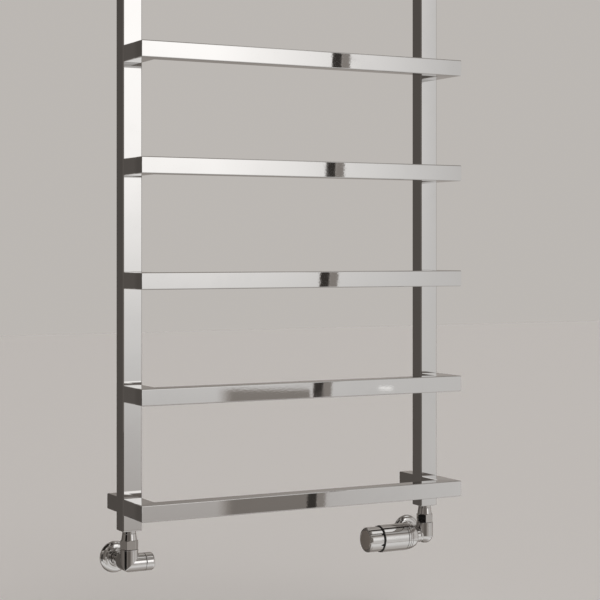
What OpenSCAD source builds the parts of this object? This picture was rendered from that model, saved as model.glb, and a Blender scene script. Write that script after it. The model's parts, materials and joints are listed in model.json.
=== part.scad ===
// Wall-hung square-tube towel radiator with a lockshield valve and a thermostatic valve.
// X runs along the rungs, +Y points into the wall, +Z is up, and the wall face is Y = 0.
// The origin is the centre of the four wall screws.

/* [Overall] */
// width over the two uprights
overall_w = 572; // [420:1:900]
// distance between rung centres
rung_pitch = 174.4; // [110:0.1:230]
// clear distance from the wall to the back of the uprights
wall_gap = 47; // [46:1:70]
// wall thickness of the square tubes
tube_t = 1.8; // [1.4:0.1:2.4]
// outer corner radius of the square tubes
corner_r = 2; // [2:0.1:3.5]

/* [Uprights and rungs] */
// width of the uprights from side to side
upright_w = 31.5; // [30:0.5:36]
// depth of the uprights from front to back
upright_d = 28.5; // [28:0.5:36]
// upright left bare beyond the end rungs
stub_h = 25; // [25:1:60]
// side of the square rung bars
bar_s = 26; // [24:1:29]
// distance the front bars stand forward of the uprights
rung_reach = 74.5; // [60:0.5:110]
// radius of the waterways between the arms and the uprights
waterway_r = 8; // [5:0.5:10]

/* [Wall brackets] */
// side of the square bracket sleeves
sleeve_s = 24.4; // [23:0.2:29]
// length of the inner posts fixed to the wall
post_l = 32; // [20:1:36]
// radius of the wall screw holes
screw_hole_r = 2.8; // [2.2:0.1:3.2]

/* [Valves] */
// drop from the upright ends to the valve axis
valve_drop = 50.6; // [50.6:0.1:70]
// radius of the pipe sockets
pipe_r = 7.6; // [7.6:0.1:7.8]
// outer radius of the wall rosettes
rosette_r = 25; // [20:0.5:32]
// outer radius of the valve bodies
body_r = 14; // [13.6:0.1:15]
// union nut size across flats
nut_af = 25; // [24.6:0.1:27]
// turn of the left union nut about its axis
left_nut_turn = 8; // [-30:1:30]
// turn of the right union nut about its axis
right_nut_turn = 8; // [-30:1:30]

/* [Thermostatic head] */
// radius of the head sleeve
head_r = 22.6; // [22.4:0.1:25]
// radius of the turning knob
knob_r = 20.8; // [19.8:0.1:22.2]
// length of the turning knob
knob_l = 25.6; // [16:0.2:34]

/* [Hidden] */
$fn = 64;
rungs = 7;
half_w = overall_w / 2;
upright_x = half_w - upright_w / 2;
front_y = -wall_gap - upright_d;
valve_y = front_y + upright_d / 2;
rear_y = -wall_gap;
bar_front_y = front_y - rung_reach;
bar_y = bar_front_y + bar_s / 2;
end_z = (rungs - 1) / 2 * rung_pitch + bar_s / 2 + stub_h;
bracket_z = (rungs - 1) / 2 * rung_pitch;
cap_t = 3;
vent_z = end_z - 12.9;
valve_z = -end_z - valve_drop;
neck_z = valve_drop - 28.9;
spigot_z = valve_drop - 19.2;
wall_y = -valve_y;
insert_x = 21;
head_x = 44;
ring_x = 89.7;
knob_x = 91.9;
mouth_x = 23.6;
marks = [[-44, 0.9], [-33, 0.6], [-22, 0.9], [-11, 0.6], [0, 1.1], [11, 0.6], [22, 0.9], [33, 0.6], [44, 0.9]];

// rectangle with four rounded corners, centred
module soft_rect(w, h, r) {
  square([w - 2 * r, h], center = true);
  square([w, h - 2 * r], center = true);
  for (sx = [-1, 1]) for (sy = [-1, 1])
    translate([sx * (w / 2 - r), sy * (h / 2 - r)]) circle(r);
}

// cross-section of a square tube
module tube_2d(w, h) {
  difference() {
    soft_rect(w, h, corner_r);
    soft_rect(w - 2 * tube_t, h - 2 * tube_t, corner_r - tube_t + 0.4);
  }
}

// cylinder lying along X from x0 to x1
module along_x(x0, x1, r) {
  translate([x0, 0, 0]) rotate([0, 90, 0]) cylinder(h = x1 - x0, r = r);
}

// cylinder lying along Y from y0 to y1
module along_y(y0, y1, r) {
  translate([0, y0, 0]) rotate([-90, 0, 0]) cylinder(h = y1 - y0, r = r);
}

// solid of revolution about X, from points given as [radius, x]
module turned_x(pts) {
  rotate([0, 90, 0]) rotate_extrude() polygon(pts);
}

// solid of revolution about Y, from points given as [radius, y]
module turned_y(pts) {
  rotate([-90, 0, 0]) rotate_extrude() polygon(pts);
}

// ring of round section about the X axis
module ring_x_axis(x, ring_r, wire_r) {
  translate([x, 0, 0]) rotate([0, 90, 0]) rotate_extrude() translate([ring_r, 0]) circle(wire_r, $fn = 24);
}

// places a valve piece: local +X points inward, +Y to the wall, origin where the axes cross
module at_left_valve() {
  translate([-upright_x, valve_y, valve_z]) children();
}

module at_right_valve() {
  translate([upright_x, valve_y, valve_z]) mirror([1, 0, 0]) children();
}

module at_valves() {
  at_left_valve() children();
  at_right_valve() children();
}

module at_brackets() {
  for (sx = [-1, 1]) for (sz = [-1, 1])
    translate([sx * upright_x, 0, sz * bracket_z]) children();
}

// ---- tube frame ----

module upright(side) {
  translate([side * upright_x, valve_y, 0]) difference() {
    translate([0, 0, cap_t - end_z]) linear_extrude(2 * (end_z - cap_t)) tube_2d(upright_w, upright_d);
    for (k = [0:rungs - 1])
      translate([0, 0, (k - (rungs - 1) / 2) * rung_pitch])
        along_y(-upright_d / 2 - 1, -upright_d / 2 + tube_t + 1, waterway_r);
    translate([0, 0, vent_z]) along_y(upright_d / 2 - tube_t - 1, upright_d / 2 + 1, 8.6);
  }
}

module left_upright() color("silver") upright(-1);

module right_upright() color("silver") upright(1);

module top_end_caps() color("silver") {
  for (sx = [-1, 1])
    translate([sx * upright_x, valve_y, end_z - cap_t])
      linear_extrude(cap_t) soft_rect(upright_w, upright_d, corner_r);
}

// end plates with a threaded boss for the valve tails
module bottom_end_caps() color("silver") {
  for (sx = [-1, 1])
    translate([sx * upright_x, valve_y, -end_z]) difference() {
      union() {
        linear_extrude(cap_t) soft_rect(upright_w, upright_d, corner_r);
        cylinder(h = cap_t + 8, r = 12);
      }
      translate([0, 0, -1]) cylinder(h = cap_t + 10, r = 9.6);
    }
}

// plan of one whole rung's mitre: the bar is inside it, the arms outside
module mitre_2d() {
  polygon([[-half_w, bar_front_y], [half_w, bar_front_y],
           [half_w - upright_w, bar_front_y + bar_s], [upright_w - half_w, bar_front_y + bar_s]]);
}

module rung_bar(k) color("gainsboro") {
  translate([0, 0, (k - (rungs + 1) / 2) * rung_pitch]) intersection() {
    translate([-half_w, bar_y, 0]) rotate([0, 90, 0])
      linear_extrude(overall_w) tube_2d(bar_s, bar_s);
    translate([0, 0, -bar_s]) linear_extrude(2 * bar_s) mitre_2d();
  }
}

module rung_arms(k) color("gainsboro") {
  translate([0, 0, (k - (rungs + 1) / 2) * rung_pitch]) difference() {
    for (sx = [-1, 1])
      translate([sx * upright_x, bar_front_y, 0]) rotate([-90, 0, 0])
        linear_extrude(rung_reach) tube_2d(upright_w, bar_s);
    translate([0, 0, -bar_s]) linear_extrude(2 * bar_s)
      polygon([[-half_w, bar_front_y], [upright_w - half_w, bar_front_y + bar_s],
               [half_w - upright_w, bar_front_y + bar_s], [half_w, bar_front_y],
               [half_w, bar_front_y - 5], [-half_w, bar_front_y - 5]]);
  }
}

// ---- wall brackets ----

// square post screwed flat to the wall by one central screw
module wall_posts() color("lightgray") {
  at_brackets() rotate([90, 0, 0]) difference() {
    linear_extrude(post_l) soft_rect(sleeve_s - 4.8, sleeve_s - 4.8, 1.5);
    translate([0, 0, 4]) linear_extrude(post_l) soft_rect(sleeve_s - 8.8, sleeve_s - 8.8, 0.6);
    translate([0, 0, -1]) cylinder(h = 6, r = screw_hole_r);
  }
}

// outer sleeve welded to the back of the upright, sliding over the post
module bracket_sleeves() color("silver") {
  at_brackets() difference() {
    translate([0, -0.3, 0]) rotate([90, 0, 0]) linear_extrude(wall_gap - 0.3) difference() {
      soft_rect(sleeve_s, sleeve_s, 2);
      soft_rect(sleeve_s - 4, sleeve_s - 4, 0.6);
    }
    translate([0, -16, -sleeve_s / 2 - 1]) cylinder(h = 4, r = 2.5);
  }
}

module sleeve_grub_screws() color("dimgray") {
  at_brackets() translate([0, -16, -sleeve_s / 2]) difference() {
    cylinder(h = 2.1, r = 2.45);
    translate([0, 0, -0.1]) cylinder(h = 1.3, r = 1.4, $fn = 6);
  }
}

// ---- vent and blank plugs at the back of the upright tops ----

module vent_plug() color("silver") {
  translate([upright_x, rear_y, vent_z]) difference() {
    union() {
      along_y(-7, 0, 8.5);
      along_y(0, 3, 10.5);
    }
    along_y(-8, 4, 3);
  }
}

// bleed screw with a square key end
module bleed_screw() color("goldenrod") {
  translate([upright_x, rear_y, vent_z]) {
    along_y(-6, 3.4, 2.94);
    translate([-2.5, 3.4, -2.5]) cube([5, 5, 5]);
  }
}

module blank_plug() color("silver") {
  translate([-upright_x, rear_y, vent_z]) difference() {
    union() {
      along_y(-7, 0, 8.5);
      along_y(0, 3, 10.5);
    }
    along_y(0.6, 4, 4.6, $fn = 6);
  }
}

// ---- radiator connection of both valves ----

// tail screwed into the upright's end, with a flange held by the union nut
module tailpieces() color("silver") {
  at_valves() translate([0, 0, valve_drop]) rotate([180, 0, 0]) rotate_extrude()
    polygon([[6.5, -8], [9.5, -8], [9.5, 0], [10.6, 0], [10.6, 4.2], [8.2, 4.2], [8.2, 15],
             [10.2, 15], [10.2, 17.6], [6.5, 17.6]]);
}

module tail_seals() color("black") {
  at_valves() translate([0, 0, spigot_z]) difference() {
    cylinder(h = 1.6, r = 10.2);
    translate([0, 0, -1]) cylinder(h = 4, r = 7);
  }
}

// hexagon nut with a conical top
module union_nut(turn) {
  translate([0, 0, valve_drop]) rotate([180, 0, 0]) difference() {
    union() {
      translate([0, 0, 4.5]) cylinder(h = 10.8, r1 = 10.7, r2 = 12.4);
      rotate([0, 0, turn]) intersection() {
        translate([0, 0, 14.2]) cylinder(h = 14.2, r = nut_af / sqrt(3), $fn = 6);
        translate([0, 0, 13.2]) cylinder(h = 15.2, r1 = 12, r2 = 27.2);
      }
    }
    translate([0, 0, 4]) cylinder(h = 12, r = 8.5);
    translate([0, 0, 14.7]) cylinder(h = 15, r = 10.5);
  }
}

module union_nuts() color("silver") {
  at_left_valve() union_nut(left_nut_turn);
  at_right_valve() union_nut(right_nut_turn);
}

// ---- wall connection of both valves ----

module pipe_nuts() color("silver") {
  at_valves() turned_y([[10.3, 21.4], [body_r - 0.3, 21.4], [10.3, 43], [10.3, wall_y - 5], [pipe_r + 0.2, wall_y - 5],
                        [pipe_r + 0.2, 41], [10.3, 36]]);
}

module pipe_olives() color("goldenrod") {
  at_valves() turned_y([[pipe_r + 0.2, 34.2], [8.4, 34.2], [9.3, 36], [8.1, 39.2], [pipe_r + 0.2, 39.2]]);
}

// dished cover with a raised collar round the pipe nut
module rosette() {
  turned_y([[10.8, wall_y - 11], [12, wall_y - 11.8], [13.2, wall_y - 11], [13.4, wall_y - 8.6],
            [15.2, wall_y - 6.6], [18.6, wall_y - 5.3], [21.8, wall_y - 4.9], [24, wall_y - 4.2],
            [rosette_r, wall_y - 2.4], [rosette_r, wall_y - 0.3], [rosette_r - 1.2, wall_y - 0.3],
            [rosette_r - 1.6, wall_y - 2.6], [21.4, wall_y - 3.6], [18.2, wall_y - 4],
            [14.4, wall_y - 5.2], [12.2, wall_y - 8], [10.8, wall_y - 8]]);
}

module left_rosette() color("silver") at_left_valve() rosette();

module right_rosette() color("silver") at_right_valve() rosette();

// ---- valve bodies ----

// outside of the lockshield valve: three equal branches mitred together
module mitred_corner(r, x_end) {
  along_x(0, x_end, r);
  along_y(0, 21, r);
  cylinder(h = neck_z, r = r);
  intersection() {
    along_x(-20, 20, r);
    along_y(-20, 20, r);
    translate([0, 0, -20]) cylinder(h = 40, r = r);
  }
}

// outside of the thermostatic valve: a rounded elbow with a narrower neck for the head
module round_corner(r, neck_r, x_end) {
  along_x(0, x_end, neck_r);
  along_y(0, 21, r);
  cylinder(h = neck_z, r = r);
  sphere(r);
}

// waterways: inlet, seat, valve chamber and outlet
module corner_bores(chamber_r, x_end) {
  translate([-2.2, 0, 0]) along_y(0, 14, 5);
  along_y(13, 40, pipe_r);
  along_x(-2.2, 4, 4.5);
  along_x(3, x_end + 1, chamber_r);
  translate([4, 0, 6.5]) cylinder(h = spigot_z, r = 6);
}

// hollows out a valve's outside shape and adds its two threaded spigots
module valve_body(x_end, chamber_r) {
  difference() {
    union() {
      children();
      cylinder(h = spigot_z, r = 10.3);
      along_y(20, 34, 10);
    }
    corner_bores(chamber_r, x_end);
  }
}

// ---- lockshield valve ----

module lockshield_body() color("silver") {
  at_left_valve() valve_body(mouth_x, 8.6) mitred_corner(body_r, mouth_x);
}

module lockshield_insert() color("goldenrod") {
  at_left_valve() turned_x([[5.3, 9.8], [8.5, 9.8], [8.5, mouth_x], [9.2, mouth_x + 0.1], [9.2, 30],
                            [3.05, 30], [3.05, 20.6], [4.7, 20.6], [4.7, 18.2], [3.05, 18.2],
                            [3.05, 12.4], [5.3, 12.4]]);
}

module lockshield_seal() color("black") at_left_valve() ring_x_axis(19.4, 3.9, 0.7);

// slotted spindle whose inner end screws in the plug
module lockshield_spindle() color("goldenrod") {
  at_left_valve() difference() {
    union() {
      along_x(6.6, 10.2, 2.5);
      along_x(10.2, 11.8, 5);
      along_x(11.8, 33, 3);
    }
    translate([31.4, -0.5, -4]) cube([3, 1, 8]);
  }
}

module lockshield_plug() color("goldenrod") {
  at_left_valve() difference() {
    along_x(4.4, 9, 6.8);
    along_x(5.4, 10, 2.56);
  }
}

// turned cap covering the spindle
module lockshield_cap() color("silver") {
  at_left_valve() turned_x([[9.5, mouth_x + 0.6], [13.6, mouth_x + 0.6], [14, mouth_x + 1], [14, 35.4],
                            [13.4, 37.2], [12, 38.4], [10, 38.8], [0, 38.8], [0, 35.6], [9.5, 35.6]]);
}

// ---- thermostatic valve ----

module thermostat_body() color("silver") {
  at_right_valve() valve_body(insert_x, 8) round_corner(body_r, 11.2, insert_x);
}

module thermostat_insert() color("goldenrod") {
  at_right_valve() turned_x([[2.56, 10], [7.9, 10], [7.9, insert_x + 0.2], [8.8, insert_x + 0.2], [8.8, 30],
                             [2.56, 30], [2.56, 27], [4.1, 27], [4.1, 24.8], [2.56, 24.8],
                             [2.56, 22.6], [5.8, 22.6], [5.8, 12], [2.56, 12]]);
}

module pin_seal() color("black") at_right_valve() ring_x_axis(25.9, 3.35, 0.65);

// return spring, drawn as its coils
module pin_spring() color("gray") {
  at_right_valve() for (x = [12.8, 14.2, 15.6, 17, 18.4]) ring_x_axis(x, 4.2, 0.4);
}

module valve_disc() color("black") {
  at_right_valve() difference() {
    along_x(4.4, 7.4, 6.6);
    along_x(6, 8, 2.5);
  }
}

module valve_pin() color("gray") {
  at_right_valve() {
    along_x(6, 31, 2.5);
    along_x(20, 21, 4.6);
  }
}

// ---- thermostatic head ----

// outer radius of the flared head nut at distance x from the valve axis
function flare_r(x) = 15 + (head_r - 15.2) * sin(90 * pow((x - 21.6) / 22.4, 0.62));

// flared coupling nut with two turned grooves
module head_nut() color("silver") {
  at_right_valve() difference() {
    turned_x(concat([[9, 21.6], [14.3, 21.6]], [for (i = [0:14]) [flare_r(22 + i * 21.4 / 14), 22 + i * 21.4 / 14]],
                    [[flare_r(43.4), 43.6], [13.3, 43.6], [13.3, 30.2], [9, 30.2]]));
    for (x = [35, 39])
      turned_x([[flare_r(x) - 0.9, x], [head_r + 2, x], [head_r + 2, x + 1], [flare_r(x) - 0.9, x + 1]]);
  }
}

// plastic carrier that guides the sensor and the knob
module head_core() color("white") {
  at_right_valve() turned_x([[3.3, 30.5], [13, 30.5], [13, 44.2], [head_r - 2, 44.2], [head_r - 2, 46.6],
                             [14.6, 46.6], [14.6, 89.6], [10.2, 89.6], [10.2, 45], [3.3, 45]]);
}

module head_sleeve() color("silver") {
  at_right_valve() turned_x([[head_r - 1.8, head_x], [head_r - 0.4, head_x], [head_r, head_x + 0.5],
                             [head_r, ring_x - 0.5], [head_r - 0.4, ring_x - 0.1], [16, ring_x - 0.1],
                             [16, ring_x - 1.9], [head_r - 1.8, ring_x - 1.9]]);
}

module head_ring() color("black") {
  at_right_valve() turned_x([[16, ring_x], [head_r - 0.5, ring_x], [head_r - 0.5, ring_x + 1.9], [16, ring_x + 1.9]]);
}

module sensor() color("gray") {
  at_right_valve() turned_x([[0, 46.6], [8.5, 46.6], [9.5, 47.6], [9.5, 84], [8.5, 85], [0, 85]]);
}

module push_rod() color("gray") {
  at_right_valve() along_x(31, 46.6, 3);
}

// hollow turning cap with a bearing hub over the carrier
module knob() color("silver") {
  at_right_valve() difference() {
    turned_x([[14.66, 80], [15.7, 80], [15.7, knob_x], [knob_r - 0.5, knob_x], [knob_r, knob_x + 0.5],
              [knob_r, knob_x + knob_l - 4.4], [knob_r - 0.4, knob_x + knob_l - 2.9],
              [knob_r - 1.5, knob_x + knob_l - 1.5], [knob_r - 3.2, knob_x + knob_l - 0.6],
              [12, knob_x + knob_l - 0.1], [0, knob_x + knob_l], [0, knob_x + knob_l - 3],
              [knob_r - 3.4, knob_x + knob_l - 3.6], [knob_r - 2.4, knob_x + knob_l - 5],
              [knob_r - 2.4, knob_x + 2.2], [14.66, knob_x + 2.2]]);
    knob_mark_pins(knob_r - 0.8);
  }
}

// small round marks let into the knob's rim
module knob_mark_pins(r0) {
  for (m = marks)
    rotate([m[0], 0, 0]) translate([knob_x + 2.4, -r0, 0]) rotate([90, 0, 0])
      cylinder(h = knob_r + 0.05 - r0, r = m[1], $fn = 24);
}

module knob_marks() color("black") at_right_valve() knob_mark_pins(knob_r - 0.7);

left_upright();
right_upright();
top_end_caps();
bottom_end_caps();
rung_bar(1);  // rung_1_bar
rung_bar(2);  // rung_2_bar
rung_bar(3);  // rung_3_bar
rung_bar(4);  // rung_4_bar
rung_bar(5);  // rung_5_bar
rung_bar(6);  // rung_6_bar
rung_bar(7);  // rung_7_bar
rung_arms(1);  // rung_1_arms
rung_arms(2);  // rung_2_arms
rung_arms(3);  // rung_3_arms
rung_arms(4);  // rung_4_arms
rung_arms(5);  // rung_5_arms
rung_arms(6);  // rung_6_arms
rung_arms(7);  // rung_7_arms
wall_posts();
bracket_sleeves();
sleeve_grub_screws();
vent_plug();
bleed_screw();
blank_plug();
tailpieces();
tail_seals();
union_nuts();
pipe_nuts();
pipe_olives();
left_rosette();
right_rosette();
lockshield_body();
lockshield_insert();
lockshield_seal();
lockshield_spindle();
lockshield_plug();
lockshield_cap();
thermostat_body();
thermostat_insert();
pin_seal();
pin_spring();
valve_disc();
valve_pin();
head_nut();
head_core();
head_sleeve();
head_ring();
sensor();
push_rod();
knob();
knob_marks();
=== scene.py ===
import bpy
import bmesh
import json
import math
from mathutils import Matrix, Vector


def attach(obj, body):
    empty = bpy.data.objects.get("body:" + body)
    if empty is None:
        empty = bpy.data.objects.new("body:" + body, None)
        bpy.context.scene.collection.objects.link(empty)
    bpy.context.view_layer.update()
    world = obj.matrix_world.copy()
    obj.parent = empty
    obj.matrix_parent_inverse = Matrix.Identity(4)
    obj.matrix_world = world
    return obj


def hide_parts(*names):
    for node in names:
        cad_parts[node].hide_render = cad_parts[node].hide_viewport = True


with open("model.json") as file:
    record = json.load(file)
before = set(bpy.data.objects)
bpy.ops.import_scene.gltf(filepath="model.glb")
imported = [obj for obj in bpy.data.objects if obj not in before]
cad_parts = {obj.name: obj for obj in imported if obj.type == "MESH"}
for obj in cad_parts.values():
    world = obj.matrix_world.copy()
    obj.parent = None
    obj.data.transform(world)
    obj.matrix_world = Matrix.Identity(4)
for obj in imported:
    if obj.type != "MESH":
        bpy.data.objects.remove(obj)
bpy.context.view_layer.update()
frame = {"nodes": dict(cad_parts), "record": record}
mm = 0.001
xAxis, yAxis, zAxis = Vector((1, 0, 0)), Vector((0, 1, 0)), Vector((0, 0, 1))
print("frame loaded")

# sizes shared by several pieces, in millimetres in the row frame
rail = {"width": 572, "side": 31.5, "depth": 28.5, "frontY": -75.5, "halfHeight": 561.2, "pitch": 174.4,
        "rungs": 7, "valveY": -61.25, "valveZ": -611.8, "valveDrop": 50.6}
uprightX = (rail["width"] - rail["side"]) / 2
leftValve = Vector((-uprightX, rail["valveY"], rail["valveZ"])) * mm
rightValve = Vector((uprightX, rail["valveY"], rail["valveZ"])) * mm


# shader helper

class Wire:
    # one output socket, so that sums and products of values read as plain maths
    def __init__(self, tree, socket):
        self.tree = tree
        self.socket = socket

    def join(self, operation, first, second):
        return addNode(self.tree, "ShaderNodeMath", {"operation": operation}, {0: first, 1: second})

    def __add__(self, other):
        return self.join("ADD", self, other)

    def __radd__(self, other):
        return self.join("ADD", other, self)

    def __sub__(self, other):
        return self.join("SUBTRACT", self, other)

    def __rsub__(self, other):
        return self.join("SUBTRACT", other, self)

    def __mul__(self, other):
        return self.join("MULTIPLY", self, other)

    def __rmul__(self, other):
        return self.join("MULTIPLY", other, self)

    def __truediv__(self, other):
        return self.join("DIVIDE", self, other)

    def __abs__(self):
        return addNode(self.tree, "ShaderNodeMath", {"operation": "ABSOLUTE"}, {0: self})


def addNode(tree, kind, settings=None, inputs=None, output=0):
    node = tree.nodes.new(kind)
    for key, value in (settings or {}).items():
        if key == "stops":
            ramp = node.color_ramp
            while len(ramp.elements) > 1:
                ramp.elements.remove(ramp.elements[-1])
            for i, (place, tone) in enumerate(value):
                stop = ramp.elements[0] if i == 0 else ramp.elements.new(place)
                stop.position = place
                stop.color = (*tone, 1) if isinstance(tone, tuple) else (tone, tone, tone, 1)
        elif key == "interpolation" and kind == "ShaderNodeValToRGB":
            node.color_ramp.interpolation = value
        else:
            setattr(node, key, value)
    for key, value in (inputs or {}).items():
        if isinstance(value, Wire):
            tree.links.new(value.socket, node.inputs[key])
        else:
            node.inputs[key].default_value = value
    return Wire(tree, node.outputs[output])


def rampBetween(tree, value, low, high):
    # 0 below low, 1 above high, smooth in between
    return addNode(tree, "ShaderNodeMapRange", {"interpolation_type": "SMOOTHSTEP"},
                   {"Value": value, "From Min": low, "From Max": high})


def bandBetween(tree, value, rampUp, rampDown):
    # 1 between the two ramps, 0 outside them
    return rampBetween(tree, value, *rampUp) * (1 - rampBetween(tree, value, *rampDown))


def laidOver(tone, patch, mask):
    return tone * (1 - mask) + patch * mask


# studio light

# walls gives tones by bearing near level, heights gives tones by rise above and below that
studio = {"strength": 1.0, "softFill": 2.4, "backdrop": (0.50, 0.475, 0.45), "floorZ": -0.74,
          "floorTone": (0.86, 0.87, 0.88), "shadeTint": (1.08, 0.97, 0.88), "litTint": (1.0, 0.99, 0.98),
          "walls": [(-180, .10), (-168, .09), (-150, .105), (-125, .16), (-104, .19), (-90, .19),
                   (-76, .22), (-60, .25), (-46, .20), (-34, .15), (-18, .14), (-5, .22), (9, .40),
                   (22, .58), (37, .46), (52, .55), (70, .66), (90, .55), (106, .32), (120, .28),
                   (150, .34), (165, .20), (180, .10)],
          "heights": [(-90, .33), (-72, .40), (-59, .55), (-46, .80), (-37, .88), (-30, .84), (-25, .50),
                     (-21, .72), (-16, .85), (17, .74), (24, .60), (28, .36), (32, .18), (38, .20),
                     (43, .40), (48, .55), (66, .40), (72, .26), (90, .18)],
          "windowRise": [(0, .40), (.1, .50), (.25, .70), (.42, 1.0), (.60, 1.48), (.78, 1.62), (1, 1.62)],
          "windowRight": 0.78, "darkCorner": 0.02, "darkPost": 0.05, "strip": 0.05, "stripEdge": 0.31,
          "glint": 0.4, "panel": 1.0}


def toneRamp(tree, stops, place):
    return addNode(tree, "ShaderNodeValToRGB", {"stops": stops, "interpolation": "LINEAR"}, {"Fac": place})


def buildStudio():
    world = bpy.data.worlds.new("softStudio")
    bpy.context.scene.world = world
    world.use_nodes = True
    tree = world.node_tree
    tree.nodes.clear()
    way = addNode(tree, "ShaderNodeTexCoord", output=0)
    split = tree.nodes.new("ShaderNodeSeparateXYZ")
    tree.links.new(way.socket, split.inputs[0])
    east, north, up = (Wire(tree, s) for s in split.outputs)
    # bearing 0 looks out from the wall into the room, +90 along the rungs; rise is the angle above level
    degrees = 57.2958
    bearing = addNode(tree, "ShaderNodeMath", {"operation": "ARCTAN2"}, {0: east, 1: 0 - north}) * degrees
    rise = addNode(tree, "ShaderNodeMath", {"operation": "ARCSINE"}, {0: up}) * degrees

    around = toneRamp(tree, [((b + 180) / 360, v) for b, v in studio["walls"]], (bearing + 180) / 360)
    aboveBelow = toneRamp(tree, [((h + 90) / 180, v) for h, v in studio["heights"]], (rise + 90) / 180)
    midBand = bandBetween(tree, rise, (-19, -13), (19, 25))
    lowWall = rampBetween(tree, abs(bearing), 92, 118) * bandBetween(tree, rise, (-86, -64), (30, 62))
    midBand = addNode(tree, "ShaderNodeMath", {"operation": "MAXIMUM"}, {0: midBand, 1: lowWall})
    tone = laidOver(aboveBelow, around, midBand)

    # the unlit corner of the room, high on the left, and a narrow one high on the right
    corner = (bandBetween(tree, bearing, (-130, -105), (-34, -12))
              * bandBetween(tree, rise, (22, 34), (72, 84)))
    tone = laidOver(tone, studio["darkCorner"], corner)
    post = bandBetween(tree, bearing, (98, 102), (112, 118)) * bandBetween(tree, rise, (30, 40), (70, 80))
    tone = laidOver(tone, studio["darkPost"], post)

    # the big soft window that the front faces mirror, brightest up and to the left
    leftRise = toneRamp(tree, studio["windowRise"], (rise + 13) / 26)
    across = addNode(tree, "ShaderNodeMapRange", {}, {"Value": bearing, "From Min": 25.2, "From Max": 33.8})
    window = laidOver(leftRise, studio["windowRight"], across)
    inWindow = bandBetween(tree, bearing, (12, 21), (36, 46)) * bandBetween(tree, rise, (-16, -12), (17, 22))
    tone = laidOver(tone, window, inWindow)

    # dark flags: a low block, and a leaning strip with a grey edge
    block = (bandBetween(tree, bearing, (25.2, 25.9), (28.5, 28.6))
             * bandBetween(tree, rise, (-14, -12), (-4.95, -4.7)))
    tone = laidOver(tone, 0.25 + 0.012 * (rise + 9), block)
    leaning = bearing + 0.085 - 0.057 * (rise + 9)
    edgeFade = bandBetween(tree, rise, (-18, -15), (20, 24))
    strip = bandBetween(tree, leaning, (28.48, 28.56), (28.84, 28.90)) * edgeFade
    grey = bandBetween(tree, leaning, (28.84, 28.90), (29.12, 29.20)) * edgeFade
    tone = laidOver(tone, studio["strip"], strip)
    tone = laidOver(tone, studio["stripEdge"], grey)

    # a small bright reflector low in the window
    glint = ((1 - rampBetween(tree, abs(bearing - 31.2), 0.12, 0.34))
             * (1 - rampBetween(tree, abs(rise + 4.78), 0.03, 0.10)))
    tone = tone + studio["glint"] * glint

    # soft panel overhead on the right
    panel = bandBetween(tree, bearing, (41, 50), (72, 92)) * bandBetween(tree, rise, (46, 50), (62, 67))
    tone = laidOver(tone, studio["panel"], panel)

    # lit parts are neutral, shaded parts lean to a warm brown
    lit = rampBetween(tree, tone, 0.05, 0.9)
    warmth = addNode(tree, "ShaderNodeMix", {"data_type": "RGBA"},
                     {0: lit, 6: (*studio["shadeTint"], 1), 7: (*studio["litTint"], 1)}, output=2)
    toned = addNode(tree, "ShaderNodeMix", {"data_type": "RGBA", "blend_type": "MULTIPLY"},
                    {0: 1.0, 6: warmth, 7: tone}, output=2)
    isCamera = addNode(tree, "ShaderNodeLightPath", output=0)
    shown = addNode(tree, "ShaderNodeMix", {"data_type": "RGBA"},
                    {0: isCamera, 6: toned, 7: (*studio["backdrop"], 1)}, output=2)
    isSoft = addNode(tree, "ShaderNodeLightPath", output=2)  # matt surfaces get a little more fill
    strength = studio["strength"] * (1 + isSoft * (studio["softFill"] - 1))
    light = addNode(tree, "ShaderNodeBackground", {}, {"Color": shown, "Strength": strength})
    out = tree.nodes.new("ShaderNodeOutputWorld")
    tree.links.new(light.socket, out.inputs["Surface"])


def stagePiece(bm, name, materialName, tone, roughness):
    mesh = bpy.data.meshes.new(name)
    bm.to_mesh(mesh)
    bm.free()
    made = bpy.data.objects.new(name, mesh)
    bpy.context.scene.collection.objects.link(made)
    material = bpy.data.materials.new(materialName)
    material.use_nodes = True
    shader = material.node_tree.nodes["Principled BSDF"]
    shader.inputs["Base Color"].default_value = (*tone, 1)
    shader.inputs["Roughness"].default_value = roughness
    mesh.materials.append(material)
    return made


def buildFloor():
    bm = bmesh.new()
    bmesh.ops.create_grid(bm, x_segments=8, y_segments=8, size=9)
    bmesh.ops.translate(bm, vec=(0, 0, studio["floorZ"]), verts=bm.verts)
    floor = stagePiece(bm, "studioFloor", "paleFloor", studio["floorTone"], 0.8)
    floor.visible_glossy = False  # the chrome mirrors the studio, not the floor


# low black card to the left of the valves, which only mirror surfaces see
flagCard = {"corners": [(-1.016, -0.138), (-0.861, -0.522)], "low": -0.95, "high": -0.485,
            "tone": (0.005, 0.005, 0.005), "roughness": 0.9}


def buildFlagCard():
    bm = bmesh.new()
    foot = [bm.verts.new((x, y, flagCard["low"])) for x, y in flagCard["corners"]]
    edge = bm.edges.new(foot)
    up = bmesh.ops.extrude_edge_only(bm, edges=[edge])["geom"]
    bmesh.ops.translate(bm, vec=(0, 0, flagCard["high"] - flagCard["low"]),
                        verts=[v for v in up if isinstance(v, bmesh.types.BMVert)])
    card = stagePiece(bm, "flagCard", "blackCard", flagCard["tone"], flagCard["roughness"])
    card.visible_camera = card.visible_diffuse = card.visible_shadow = False


buildStudio()
buildFloor()
buildFlagCard()
print("studio built")


# materials

def newMaterial(name):
    material = bpy.data.materials.new(name)
    material.use_nodes = True
    tree = material.node_tree
    shader = tree.nodes["Principled BSDF"]
    return material, tree, shader


def feed(tree, shader, name, value):
    if isinstance(value, Wire):
        tree.links.new(value.socket, shader.inputs[name])
    else:
        shader.inputs[name].default_value = value


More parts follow.
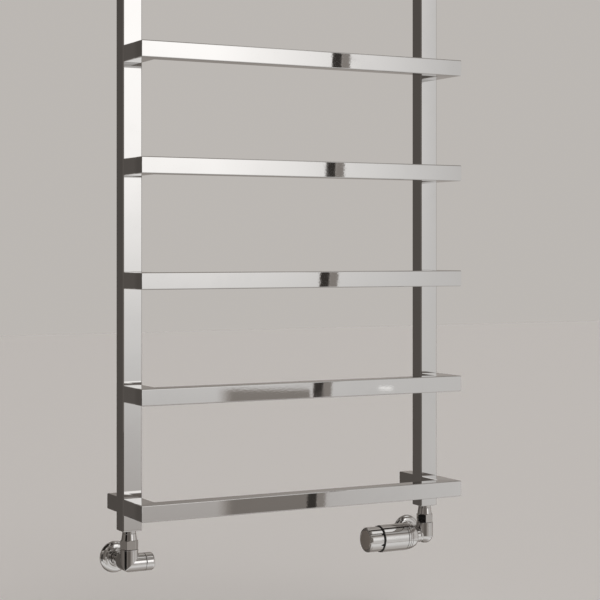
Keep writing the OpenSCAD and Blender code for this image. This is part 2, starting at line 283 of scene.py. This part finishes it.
def noise(tree, place, scale, detail=3, roughness=0.5, distortion=0.0):
    return addNode(tree, "ShaderNodeTexNoise", {"noise_dimensions": "3D"},
                   {"Vector": place, "Scale": scale, "Detail": detail, "Roughness": roughness,
                    "Distortion": distortion})


def objectPlace(tree, stretch=(1, 1, 1)):
    place = addNode(tree, "ShaderNodeTexCoord", output=3)
    if stretch == (1, 1, 1):
        return place
    return addNode(tree, "ShaderNodeMapping", {}, {"Vector": place, "Scale": stretch})


def chromeMaterial(name, look):
    # polished plate: faint haze patches, wiping marks, tiny waves, and dull dust in spots
    material, tree, shader = newMaterial(name)
    place = objectPlace(tree)
    haze = rampBetween(tree, noise(tree, place, look["hazeScale"], 4, 0.6), 0.45, 0.72)
    wiped = objectPlace(tree, look["wipeStretch"])
    wipes = rampBetween(tree, noise(tree, wiped, 60, 3, 0.6, 0.4), 0.52, 0.75)
    specks = rampBetween(tree, noise(tree, place, 900, 1, 0.4), 0.70, 0.76)
    feed(tree, shader, "Metallic", 1.0)
    feed(tree, shader, "Roughness",
         look["roughness"] + look["hazeRough"] * haze + 0.012 * wipes + 0.06 * specks)
    dull = haze * 0.35 + specks * 0.6
    tone = addNode(tree, "ShaderNodeMix", {"data_type": "RGBA"},
                   {0: dull, 6: (*look["tone"], 1), 7: (*[c * 0.93 for c in look["tone"]], 1)}, output=2)
    feed(tree, shader, "Base Color", tone)
    waves = noise(tree, objectPlace(tree, look["waveStretch"]), 1, 2, 0.4)
    grain = noise(tree, objectPlace(tree, look["wipeStretch"]), 400, 2, 0.5)
    bump = addNode(tree, "ShaderNodeBump", {},
                   {"Strength": look["waveStrength"], "Distance": 0.001, "Height": waves})
    bump = addNode(tree, "ShaderNodeBump", {}, {"Strength": look["grainStrength"], "Distance": 0.00002,
                                                "Height": grain, "Normal": bump})
    feed(tree, shader, "Normal", bump)
    return material


tubeLook = {"tone": (0.612, 0.603, 0.594), "roughness": 0.010, "hazeRough": 0.014, "hazeScale": 14,
            "wipeStretch": (0.4, 1, 1), "waveStretch": (3, 9, 9), "waveStrength": 0.012,
            "grainStrength": 0.12}
uprightLook = dict(tubeLook, wipeStretch=(1, 1, 0.4), waveStretch=(9, 9, 3))
valveLook = {"tone": (0.655, 0.645, 0.635), "roughness": 0.035, "hazeRough": 0.04, "hazeScale": 60,
             "wipeStretch": (1, 1, 1), "waveStretch": (40, 40, 40), "waveStrength": 0.02,
             "grainStrength": 0.3}


def plainMaterial(name, look):
    # moulded plastics, rubber, brass and steel: one tone broken up by fine mottling
    material, tree, shader = newMaterial(name)
    place = objectPlace(tree)
    mottle = noise(tree, place, look["mottleScale"], 4, 0.6)
    tone = addNode(tree, "ShaderNodeMix", {"data_type": "RGBA"},
                   {0: mottle, 6: (*[c * look["shade"] for c in look["tone"]], 1), 7: (*look["tone"], 1)},
                   output=2)
    feed(tree, shader, "Base Color", tone)
    feed(tree, shader, "Metallic", look["metallic"])
    feed(tree, shader, "Roughness", look["roughness"] + look["roughSpread"] * (mottle - 0.5))
    fine = noise(tree, place, look["bumpScale"], 2, 0.5)
    feed(tree, shader, "Normal", addNode(tree, "ShaderNodeBump", {},
                                         {"Strength": look["bump"], "Distance": 0.0001, "Height": fine}))
    return material


plainLooks = {
    "brass": {"tone": (0.72, 0.52, 0.25), "shade": 0.8, "metallic": 1.0, "roughness": 0.3,
              "roughSpread": 0.2, "mottleScale": 300, "bumpScale": 1500, "bump": 0.3},
    "zinc": {"tone": (0.58, 0.58, 0.6), "shade": 0.75, "metallic": 1.0, "roughness": 0.38,
             "roughSpread": 0.25, "mottleScale": 180, "bumpScale": 900, "bump": 0.3},
    "darkSteel": {"tone": (0.1, 0.1, 0.105), "shade": 0.7, "metallic": 1.0, "roughness": 0.42,
                  "roughSpread": 0.2, "mottleScale": 500, "bumpScale": 1500, "bump": 0.3},
    "springSteel": {"tone": (0.5, 0.5, 0.5), "shade": 0.8, "metallic": 1.0, "roughness": 0.25,
                    "roughSpread": 0.1, "mottleScale": 600, "bumpScale": 1500, "bump": 0.2},
    "aluminium": {"tone": (0.72, 0.72, 0.72), "shade": 0.85, "metallic": 1.0, "roughness": 0.35,
                  "roughSpread": 0.1, "mottleScale": 300, "bumpScale": 1200, "bump": 0.2},
    "sealRubber": {"tone": (0.025, 0.025, 0.025), "shade": 0.6, "metallic": 0.0, "roughness": 0.65,
                   "roughSpread": 0.2, "mottleScale": 500, "bumpScale": 1500, "bump": 0.4},
    "whitePlastic": {"tone": (0.8, 0.8, 0.78), "shade": 0.93, "metallic": 0.0, "roughness": 0.42,
                     "roughSpread": 0.1, "mottleScale": 200, "bumpScale": 1200, "bump": 0.2},
    "blackPlastic": {"tone": (0.012, 0.012, 0.013), "shade": 0.6, "metallic": 0.0, "roughness": 0.4,
                     "roughSpread": 0.15, "mottleScale": 300, "bumpScale": 2000, "bump": 0.3},
    "markPaint": {"tone": (0.02, 0.02, 0.022), "shade": 0.6, "metallic": 0.0, "roughness": 0.5,
                  "roughSpread": 0.2, "mottleScale": 900, "bumpScale": 3000, "bump": 0.3}}

rungChrome = chromeMaterial("rungChrome", tubeLook)
uprightChrome = chromeMaterial("uprightChrome", uprightLook)
valveChrome = chromeMaterial("valveChrome", valveLook)
satinLook = dict(valveLook, tone=(0.86, 0.81, 0.76), roughness=0.30, hazeRough=0.08)
satinChrome = chromeMaterial("satinChrome", satinLook)
plain = {name: plainMaterial(name, look) for name, look in plainLooks.items()}
print("materials made")


# modelling helpers

def finishPiece(bm, name, material, body, nodes):
    bmesh.ops.remove_doubles(bm, verts=bm.verts, dist=0.000002)
    bmesh.ops.recalc_face_normals(bm, faces=bm.faces)
    for face in bm.faces:
        face.smooth = True
    mesh = bpy.data.meshes.new(name)
    bm.to_mesh(mesh)
    bm.free()
    mesh.materials.append(material)
    piece = bpy.data.objects.new(name, mesh)
    bpy.context.scene.collection.objects.link(piece)
    even = piece.modifiers.new("evenShading", "WEIGHTED_NORMAL")
    even.mode = "FACE_AREA"
    even.weight = 100
    even.keep_sharp = True
    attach(piece, body)
    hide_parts(*nodes)
    return piece


def softEdges(bm, edges, width, segments=3):
    bmesh.ops.bevel(bm, geom=list(edges), offset=width * mm, offset_type="OFFSET", affect="EDGES",
                    segments=segments, profile=0.5, material=-1, clamp_overlap=True)


def addTurned(bm, outline, centre, axis, steps=128, soft=0.35, softSteps=3):
    # outline points are (radius, distance along the axis) in millimetres; soft rounds their corners
    side = zAxis if abs(axis.z) < 0.5 else xAxis
    wire = bmesh.new()
    corners = [wire.verts.new(centre + side * (r * mm) + axis * (a * mm)) for r, a in outline]
    for first, second in zip(corners, corners[1:]):
        wire.edges.new((first, second))
    onAxis = outline[0][0] < 0.001 and outline[-1][0] < 0.001
    if not onAxis:
        wire.edges.new((corners[-1], corners[0]))
    rounded = corners[1:-1] if onAxis else corners
    bmesh.ops.bevel(wire, geom=list(rounded), offset=soft * mm, offset_type="OFFSET", affect="VERTICES",
                    segments=softSteps, profile=0.5, material=-1, clamp_overlap=True)
    bmesh.ops.spin(wire, geom=wire.verts[:] + wire.edges[:], cent=centre, axis=axis, angle=2 * math.pi,
                   steps=steps, use_merge=True)
    bmesh.ops.remove_doubles(wire, verts=wire.verts, dist=0.000002)
    bmesh.ops.recalc_face_normals(wire, faces=wire.faces)
    spare = bpy.data.meshes.new("spare")
    wire.to_mesh(spare)
    wire.free()
    bm.from_mesh(spare)
    bpy.data.meshes.remove(spare)


def addRoundedBar(bm, size, centre, radius, along, segments=6):
    # box with its four long edges rounded
    made = bmesh.ops.create_cube(bm, size=1)["verts"]
    bmesh.ops.scale(bm, vec=Vector(size) * mm, verts=made)
    bmesh.ops.translate(bm, vec=Vector(centre) * mm, verts=made)
    index = "xyz".index(along)
    edges = {e for v in made for e in v.link_edges
             if abs(e.verts[0].co[index] - e.verts[1].co[index]) > 0.001}
    softEdges(bm, edges, radius, segments)


def cutAway(bm, point, outward, keepOutward=False):
    # removes what lies on the outward side of a plane and leaves the cut open
    geom = bm.verts[:] + bm.edges[:] + bm.faces[:]
    bmesh.ops.bisect_plane(bm, geom=geom, plane_co=Vector(point) * mm, plane_no=Vector(outward).normalized(),
                           clear_outer=not keepOutward, clear_inner=keepOutward, dist=0.0000005)


def quarterTurn(letter):
    return Matrix.Rotation(math.radians(90), 3, letter)


def pourInto(bm, other):
    spare = bpy.data.meshes.new("spare")
    other.to_mesh(spare)
    other.free()
    bm.from_mesh(spare)
    bpy.data.meshes.remove(spare)


# uprights and their end plates

uprightShape = {"corner": 1.7, "endPlate": 3, "endSoft": 1.1}


def buildUpright(name, side, node):
    bm = bmesh.new()
    half = rail["halfHeight"] - uprightShape["endPlate"]
    addRoundedBar(bm, (rail["side"], rail["depth"], 2 * half), (side * uprightX, rail["valveY"], 0),
                  uprightShape["corner"], "z")
    caps = [f for f in bm.faces if abs(f.normal.z) > 0.9]
    bmesh.ops.delete(bm, geom=caps, context="FACES")
    cuts = [k * 0.1 - 0.5 for k in range(11)]
    for z in cuts:
        geom = bm.verts[:] + bm.edges[:] + bm.faces[:]
        bmesh.ops.bisect_plane(bm, geom=geom, plane_co=(0, 0, z), plane_no=zAxis)
    finishPiece(bm, name, uprightChrome, "radiator", [node])


def buildEndPlates(name, direction, node):
    bm = bmesh.new()
    thick = uprightShape["endPlate"]
    for side in (-1, 1):
        plate = bmesh.new()
        z = direction * (rail["halfHeight"] - thick / 2)
        addRoundedBar(plate, (rail["side"], rail["depth"], thick), (side * uprightX, rail["valveY"], z),
                      uprightShape["corner"], "z")
        outer = [e for e in plate.edges
                 if all(abs(v.co.z - direction * rail["halfHeight"] * mm) < 1e-6 for v in e.verts)]
        softEdges(plate, outer, uprightShape["endSoft"], 3)
        inner = [f for f in plate.faces if f.normal.z * direction < -0.9]
        bmesh.ops.delete(plate, geom=inner, context="FACES")
        pourInto(bm, plate)
    finishPiece(bm, name, uprightChrome, "radiator", [node])


buildUpright("leftUpright", -1, "left_upright")
buildUpright("rightUpright", 1, "right_upright")
buildEndPlates("topEndPlates", 1, "top_end_caps")
buildEndPlates("bottomEndPlates", -1, "bottom_end_caps")
print("uprights built")


# rungs

rungShape = {"bar": 26, "frontY": -150, "corner": 1.7, "mitreSoft": 0.5}


def buildRung(level):
    z = (level - 4) * rail["pitch"]
    half, bar, frontY = rail["width"] / 2, rungShape["bar"], rungShape["frontY"]
    side, long = rail["side"], rail["frontY"] - frontY
    bm = bmesh.new()
    addRoundedBar(bm, (rail["width"], bar, bar), (0, frontY + bar / 2, z), rungShape["corner"], "x")
    cutAway(bm, (-half, frontY, z), (-bar, side, 0))
    cutAway(bm, (half, frontY, z), (bar, side, 0))
    # each arm has the bar's section, widened to the upright, so the two halves of a mitre meet exactly
    for hand in (-1, 1):
        arm = bmesh.new()
        addRoundedBar(arm, (bar, long, bar), (0, frontY + long / 2, z), rungShape["corner"], "y")
        bmesh.ops.scale(arm, vec=(side / bar, 1, 1), verts=arm.verts)
        bmesh.ops.translate(arm, vec=(hand * uprightX * mm, 0, 0), verts=arm.verts)
        cutAway(arm, (hand * half, frontY, z), (hand * bar, side, 0), keepOutward=True)
        pourInto(bm, arm)
    bmesh.ops.remove_doubles(bm, verts=bm.verts, dist=0.00002)
    # the outer edge of each mitre is dressed with three narrow flats
    soft = rungShape["mitreSoft"]
    for hand in (-1, 1):
        for angle in (22, 45, 68):
            out = Vector((hand * math.sin(math.radians(angle)), -math.cos(math.radians(angle)), 0))
            centre = Vector((hand * (half - soft), frontY + soft, z))
            cutAway(bm, centre + out * soft, out)
            rim = [e for e in bm.edges if e.is_boundary]
            bmesh.ops.holes_fill(bm, edges=rim, sides=0)
    finishPiece(bm, "rung%d" % level, rungChrome, "radiator",
                ["rung_%d_bar" % level, "rung_%d_arms" % level])


for level in range(1, rail["rungs"] + 1):
    buildRung(level)
print("rungs built")


# valve connections: tails, union nuts, pipe nuts and rosettes

unionShape = {"acrossFlats": 25, "top": 15.3, "bottom": 28.4, "leftTurn": -8, "rightTurn": 8}


# outlines are (radius, distance down from the upright's end)
tailShape = {"outline": [(6.5, 17.6), (6.5, -8), (9.5, -8), (9.5, 0), (10.5, 0), (10.6, 0.2), (10.6, 4.2),
                         (8.2, 4.2), (8.2, 15), (10.2, 15), (10.2, 17.6)], "soft": 0.2}


def buildTails():
    bm = bmesh.new()
    for place in (leftValve, rightValve):
        end = place + Vector((0, 0, rail["valveDrop"])) * mm
        addTurned(bm, tailShape["outline"], end, -zAxis, soft=tailShape["soft"])
    finishPiece(bm, "tailpieces", valveChrome, "radiator", ["tailpieces"])


def buildNuts():
    bm = bmesh.new()
    for place, turn in ((leftValve, unionShape["leftTurn"]), (rightValve, unionShape["rightTurn"])):
        nut = bmesh.new()
        end = place + Vector((0, 0, rail["valveDrop"])) * mm
        low, top = unionShape["bottom"], unionShape["top"]
        high = top - 1.2
        radius = unionShape["acrossFlats"] / math.sqrt(3)
        made = bmesh.ops.create_cone(nut, cap_ends=True, segments=6, radius1=radius * mm, radius2=radius * mm,
                                     depth=(low - high) * mm)["verts"]
        turned = Matrix.Rotation(math.radians(30 + turn), 3, "Z")
        bmesh.ops.rotate(nut, cent=(0, 0, 0), matrix=turned, verts=made)
        softEdges(nut, [e for e in nut.edges if abs(e.verts[0].co.z - e.verts[1].co.z) > 0.001], 0.5, 3)
        bmesh.ops.translate(nut, vec=end - zAxis * ((low + high) / 2 * mm), verts=nut.verts)
        hexagon = asObject(nut, "hexagon")
        shape = bmesh.new()
        addTurned(shape, [(0, low + 0.01), (radius - 0.75, low + 0.01), (radius + 0.3, low - 1.3),
                          (radius + 0.3, top + 0.9), (11.9, high + 0.1), (0, high + 0.1)],
                  end, -zAxis, soft=0.05, softSteps=1)
        envelope = asObject(shape, "envelope")
        cut = combine(hexagon, envelope, "INTERSECT")
        sharp = [e for e in cut.edges if len(e.link_faces) == 2 and e.calc_face_angle() > math.radians(16)]
        softEdges(cut, sharp, 0.14, 2)
        pourInto(bm, cut)
        addTurned(bm, [(8.5, 4.4), (10.5, 4.4), (10.75, 4.7), (12.1, top - 1), (12.1, top + 1),
                       (8.5, top + 1)], end, -zAxis, soft=0.15)
    finishPiece(bm, "unionNuts", valveChrome, "radiator", ["union_nuts"])


def asObject(bm, name):
    bmesh.ops.recalc_face_normals(bm, faces=bm.faces)
    mesh = bpy.data.meshes.new(name)
    bm.to_mesh(mesh)
    bm.free()
    made = bpy.data.objects.new(name, mesh)
    bpy.context.scene.collection.objects.link(made)
    return made


def combine(base, tool, operation):
    # boolean of two spare objects, returned as a bmesh
    joint = base.modifiers.new("joint", "BOOLEAN")
    joint.operation = operation
    joint.object = tool
    joint.solver = "EXACT"
    graph = bpy.context.evaluated_depsgraph_get()
    graph.update()
    result = bmesh.new()
    evaluated = base.evaluated_get(graph)
    result.from_mesh(evaluated.to_mesh())
    evaluated.to_mesh_clear()
    for spare in (base, tool):
        mesh = spare.data
        bpy.data.objects.remove(spare)
        bpy.data.meshes.remove(mesh)
    return result


# distances along the branch towards the wall
pipeNutShape = {"outline": [(10.3, 21.4), (13.7, 21.4), (10.3, 43), (10.3, 57), (7.8, 57), (7.8, 41),
                            (10.3, 36)], "soft": 0.3}


def buildPipeNuts():
    bm = bmesh.new()
    for place in (leftValve, rightValve):
        addTurned(bm, pipeNutShape["outline"], place, yAxis, soft=pipeNutShape["soft"])
    finishPiece(bm, "pipeNuts", valveChrome, "radiator", ["pipe_nuts"])


# (radius, height off the wall), from the collar out over the rim and back inside
rosetteShape = {"outline": [(10.8, 11), (11.4, 11.7), (12.4, 11.7), (13.1, 11), (13.4, 9.2), (14.2, 7.6),
                            (15.6, 7.0), (18, 6.8), (20.2, 6.2), (22.2, 5.2), (23.7, 3.8), (24.7, 2.2),
                            (24.99, 0.9), (24.99, 0.4), (23.8, 0.4), (23.1, 2.4), (21.2, 4.2), (18.4, 5.2),
                            (15, 5.6), (12.2, 8), (10.8, 8)], "soft": 0.6, "steps": 144}


def buildRosette(name, place, node):
    bm = bmesh.new()
    wall = -rail["valveY"]
    addTurned(bm, [(r, wall - h) for r, h in rosetteShape["outline"]], place, yAxis,
              steps=rosetteShape["steps"], soft=rosetteShape["soft"])
    finishPiece(bm, name, valveChrome, node, [node])


buildTails()
buildNuts()
buildPipeNuts()
buildRosette("leftRosette", leftValve, "left_rosette")
buildRosette("rightRosette", rightValve, "right_rosette")
print("valve connections built")


# valve bodies

bodyShape = {"radius": 14, "neck": 11.2, "segments": 128, "creaseSoft": 0.9}


def addLeg(bm, axis, start, end, radius, segments):
    made = bmesh.ops.create_cone(bm, cap_ends=False, segments=segments, radius1=radius * mm,
                                 radius2=radius * mm, depth=(end - start) * mm)["verts"]
    turn = zAxis.rotation_difference(axis).to_matrix()
    bmesh.ops.rotate(bm, cent=(0, 0, 0), matrix=turn, verts=made)
    bmesh.ops.translate(bm, vec=axis * ((start + end) / 2 * mm), verts=made)


def addMouth(bm, centre, axis, end, outer, inner, depth):
    # rolled rim and bore at a branch's open end
    addTurned(bm, [(inner, end - depth), (inner, end), (outer, end), (outer, end - 1.5),
                   (outer - 0.6, end - 1.5)], centre, axis, soft=0.25)


def buildLockshieldBody():
    bm = bmesh.new()
    r = bodyShape["radius"]
    reach = {"x": 22.2, "y": 19.6, "z": 20.3}
    for axis, others, end in ((xAxis, (yAxis, zAxis), reach["x"]), (yAxis, (xAxis, zAxis), reach["y"]),
                              (zAxis, (xAxis, yAxis), reach["z"])):
        leg = bmesh.new()
        addLeg(leg, axis, -20, end, r, bodyShape["segments"])
        for other in others:
            cutAway(leg, (0, 0, 0), other - axis)
        pourInto(bm, leg)
    bmesh.ops.remove_doubles(bm, verts=bm.verts, dist=0.00002)
    creases = [e for e in bm.edges if len(e.link_faces) == 2 and e.calc_face_angle() > math.radians(9)]
    softEdges(bm, creases, bodyShape["creaseSoft"], 4)
    bmesh.ops.translate(bm, vec=leftValve, verts=bm.verts)
    addMouth(bm, leftValve, xAxis, 23.6, r, 9.4, 4)
    addMouth(bm, leftValve, yAxis, 21, r, 10.1, 4)
    addMouth(bm, leftValve, zAxis, 21.7, r, 10.4, 4)
    finishPiece(bm, "lockshieldBody", valveChrome, "radiator", ["lockshield_body"])


def buildThermostatBody():
    bm = bmesh.new()
    r, count = bodyShape["radius"], bodyShape["segments"]
    stem = bmesh.new()
    addLeg(stem, zAxis, -20, 20.3, r, count)
    cutAway(stem, (0, 0, 0), (0, 1, -1))
    cutAway(stem, (0, 0, 0), (0, 0, -1))
    pourInto(bm, stem)
    branch = bmesh.new()
    addLeg(branch, yAxis, -20, 19.6, r, count)
    cutAway(branch, (0, 0, 0), (0, -1, 1))
    cutAway(branch, (0, 0, 0), (0, -1, 0))
    pourInto(bm, branch)
    heel = bmesh.new()  # quarter ball under the elbow
    bmesh.ops.create_uvsphere(heel, u_segments=count, v_segments=count // 2, radius=r * mm)
    bmesh.ops.rotate(heel, cent=(0, 0, 0), matrix=quarterTurn("Y"), verts=heel.verts)
    cutAway(heel, (0, 0, 0), (0, 1, 0))
    cutAway(heel, (0, 0, 0), (0, 0, 1))
    pourInto(bm, heel)
    bmesh.ops.remove_doubles(bm, verts=bm.verts, dist=0.00002)
    creases = [e for e in bm.edges if len(e.link_faces) == 2 and e.calc_face_angle() > math.radians(9)]
    softEdges(bm, creases, bodyShape["creaseSoft"], 4)
    bmesh.ops.translate(bm, vec=rightValve, verts=bm.verts)
    addTurned(bm, [(10.2, 6), (11.9, 12.4), (11.2, 13.8), (11.2, 21), (8.1, 21), (8.1, 6)],
              rightValve, -xAxis, soft=0.3)
    addMouth(bm, rightValve, yAxis, 21, r, 10.1, 4)
    addMouth(bm, rightValve, zAxis, 21.7, r, 10.4, 4)
    finishPiece(bm, "thermostatBody", valveChrome, "radiator", ["thermostat_body"])


capShape = {"outline": [(9.5, 24.2), (13.4, 24.2), (14, 24.8), (14, 35.4), (13.4, 37.2), (12, 38.3),
                        (10, 38.7), (0, 38.8), (0, 35.6), (9.5, 35.6)], "soft": 0.5}


def buildLockshieldCap():
    bm = bmesh.new()
    addTurned(bm, capShape["outline"], leftValve, xAxis, soft=capShape["soft"])
    finishPiece(bm, "lockshieldCap", valveChrome, "lockshield_cap", ["lockshield_cap"])


buildLockshieldBody()
buildThermostatBody()
buildLockshieldCap()
print("valve bodies built")


# thermostatic head

headShape = {"radius": 22.6, "knobRadius": 20.8, "sleeveX": 44, "ringX": 89.7, "knobX": 91.9,
             "knobLength": 25.6, "grooves": (35, 39), "grooveDepth": 1.1}


def flareRadius(x):
    return 15 + (headShape["radius"] - 15.2) * math.sin(math.radians(90) * ((x - 21.6) / 22.4) ** 0.62)


def buildHeadNut():
    end = headShape["sleeveX"] - 0.6
    deep = headShape["grooveDepth"]
    outline = [(9, 30.2), (9, 21.6), (14.3, 21.6)]
    for x in (22, 22.5, 23.2, 24.2, 25.5, 27, 28.6, 30.2, 31.8, 33.4):
        outline.append((flareRadius(x), x))
    for groove in headShape["grooves"]:
        outline += [(flareRadius(groove), groove), (flareRadius(groove) - deep, groove + 0.2),
                    (flareRadius(groove) - deep, groove + 0.9), (flareRadius(groove + 1.1), groove + 1.1),
                    (flareRadius(groove + 2.5), groove + 2.5)]
    outline += [(flareRadius(end), end), (21.4, end + 0.2), (13.3, end + 0.2), (13.3, 30.2)]
    bm = bmesh.new()
    addTurned(bm, outline, rightValve, -xAxis, steps=160, soft=0.12, softSteps=2)
    finishPiece(bm, "headNut", valveChrome, "radiator", ["head_nut"])


def buildHeadSleeve():
    r, start, end = headShape["radius"], headShape["sleeveX"], headShape["ringX"] - 0.1
    bm = bmesh.new()
    addTurned(bm, [(r - 1.8, start), (r - 0.6, start), (r, start + 0.5), (r, end - 0.5), (r - 0.5, end),
                   (16, end), (16, end - 1.8), (r - 1.8, end - 1.8)],
              rightValve, -xAxis, steps=160, soft=0.25)
    finishPiece(bm, "headSleeve", valveChrome, "radiator", ["head_sleeve"])


def buildHeadRing():
    r = headShape["radius"] - 0.5
    bm = bmesh.new()
    x = headShape["ringX"]
    addTurned(bm, [(16, x), (r, x), (r, x + 1.9), (16, x + 1.9)], rightValve, -xAxis, steps=160, soft=0.4)
    finishPiece(bm, "headRing", plain["blackPlastic"], "radiator", ["head_ring"])


def buildKnob():
    r, x, end = headShape["knobRadius"], headShape["knobX"], headShape["knobX"] + headShape["knobLength"]
    bm = bmesh.new()
    addTurned(bm, [(14.66, 80), (15.7, 80), (15.7, x), (r - 0.4, x), (r, x + 0.5), (r, end - 4.4),
                   (r - 0.35, end - 2.9), (r - 1.3, end - 1.6), (r - 3.0, end - 0.8), (16.2, end - 0.62),
                   (16, end - 1.1), (0, end - 1.1), (0, end - 3), (r - 3.4, end - 3.6), (r - 2.4, end - 5),
                   (r - 2.4, x + 2.2), (14.66, x + 2.2)],
              rightValve, -xAxis, steps=160, soft=0.5, softSteps=4)
    finishPiece(bm, "knob", valveChrome, "thermostat_knob", ["knob"])
    face = bmesh.new()
    addTurned(face, [(0, end - 1.08), (15.95, end - 1.08), (15.95, end - 0.66), (15.6, end - 0.5),
                     (8, end - 0.15), (0, end - 0.02)], rightValve, -xAxis, steps=160, soft=0.3)
    finishPiece(face, "knobFace", satinChrome, "thermostat_knob", ["knob"])


# angle round the rim from the front, kind, and size in millimetres
markShape = {"marks": [(57, "dot", 1.3), (30, "wedge", 4.6), (4, "dot", 1.5), (-20, "wedge", 6.0),
                       (-46, "dot", 1.3), (-70, "dot", 1.2)], "fromRing": 0.5, "proud": 0.025}


def buildKnobMarks():
    bm = bmesh.new()
    surface = (headShape["knobRadius"] + markShape["proud"]) * mm
    for angle, kind, size in markShape["marks"]:
        mark = bmesh.new()
        x = headShape["knobX"] + markShape["fromRing"]
        if kind == "dot":
            bmesh.ops.create_circle(mark, cap_ends=True, segments=24, radius=size / 2 * mm)
            bmesh.ops.translate(mark, vec=(-(x + 2.4) * mm, 0, 0), verts=mark.verts)
        else:
            bmesh.ops.create_circle(mark, cap_ends=True, segments=3, radius=size * 0.62 * mm)
            bmesh.ops.rotate(mark, cent=(0, 0, 0), matrix=quarterTurn("Z"), verts=mark.verts)
            bmesh.ops.scale(mark, vec=(1, 0.8, 1), verts=mark.verts)
            bmesh.ops.translate(mark, vec=(-(x + size * 0.31) * mm, 0, 0), verts=mark.verts)
            bmesh.ops.triangulate(mark, faces=mark.faces)
            bmesh.ops.subdivide_edges(mark, edges=mark.edges, cuts=5, use_grid_fill=True)
        bmesh.ops.rotate(mark, cent=(0, 0, 0), matrix=quarterTurn("X"), verts=mark.verts)
        for v in mark.verts:  # wrapped onto the rim
            turn = v.co.z / surface + math.radians(angle)
            v.co.y, v.co.z = -surface * math.cos(turn), surface * math.sin(turn)
        bmesh.ops.translate(mark, vec=rightValve, verts=mark.verts)
        bmesh.ops.recalc_face_normals(mark, faces=mark.faces)
        bmesh.ops.solidify(mark, geom=mark.faces, thickness=0.06 * mm)
        pourInto(bm, mark)
    finishPiece(bm, "knobMarks", plain["markPaint"], "thermostat_knob", ["knob_marks"])


buildHeadNut()
buildHeadSleeve()
buildHeadRing()
buildKnob()
buildKnobMarks()
print("thermostatic head built")


# plain looks for the CAD pieces that stay

keptLooks = {"polished_chrome": uprightChrome, "valve_chrome": valveChrome, "zinc_steel": plain["zinc"],
             "dark_steel": plain["darkSteel"], "spring_steel": plain["springSteel"],
             "sensor_metal": plain["aluminium"], "plain_brass": plain["brass"],
             "seal_rubber": plain["sealRubber"], "white_plastic": plain["whitePlastic"],
             "black_plastic": plain["blackPlastic"]}
slotOfNode = {s["node"]: s["material_slot"] for s in frame["record"]["subparts"]}
for node, kept in frame["nodes"].items():
    for place in kept.material_slots:
        place.material = keptLooks[slotOfNode[node]]
print("kept pieces painted")


# camera

view = {"place": (-1.2325, -2.415, -0.1296), "bearing": 28.20, "lens": 98.09, "shiftY": -0.0812}


def buildCamera():
    camera = bpy.data.cameras.new("viewCamera")
    camera.lens = view["lens"]
    camera.sensor_width = 36
    camera.shift_y = view["shiftY"]
    camera.clip_start = 0.05
    camera.clip_end = 60
    holder = bpy.data.objects.new("viewCamera", camera)
    holder.location = view["place"]
    holder.rotation_euler = (math.radians(90), 0, math.radians(-view["bearing"]))
    bpy.context.scene.collection.objects.link(holder)
    bpy.context.scene.camera = holder


buildCamera()
bpy.context.scene.view_settings.view_transform = "Standard"
print("camera set")
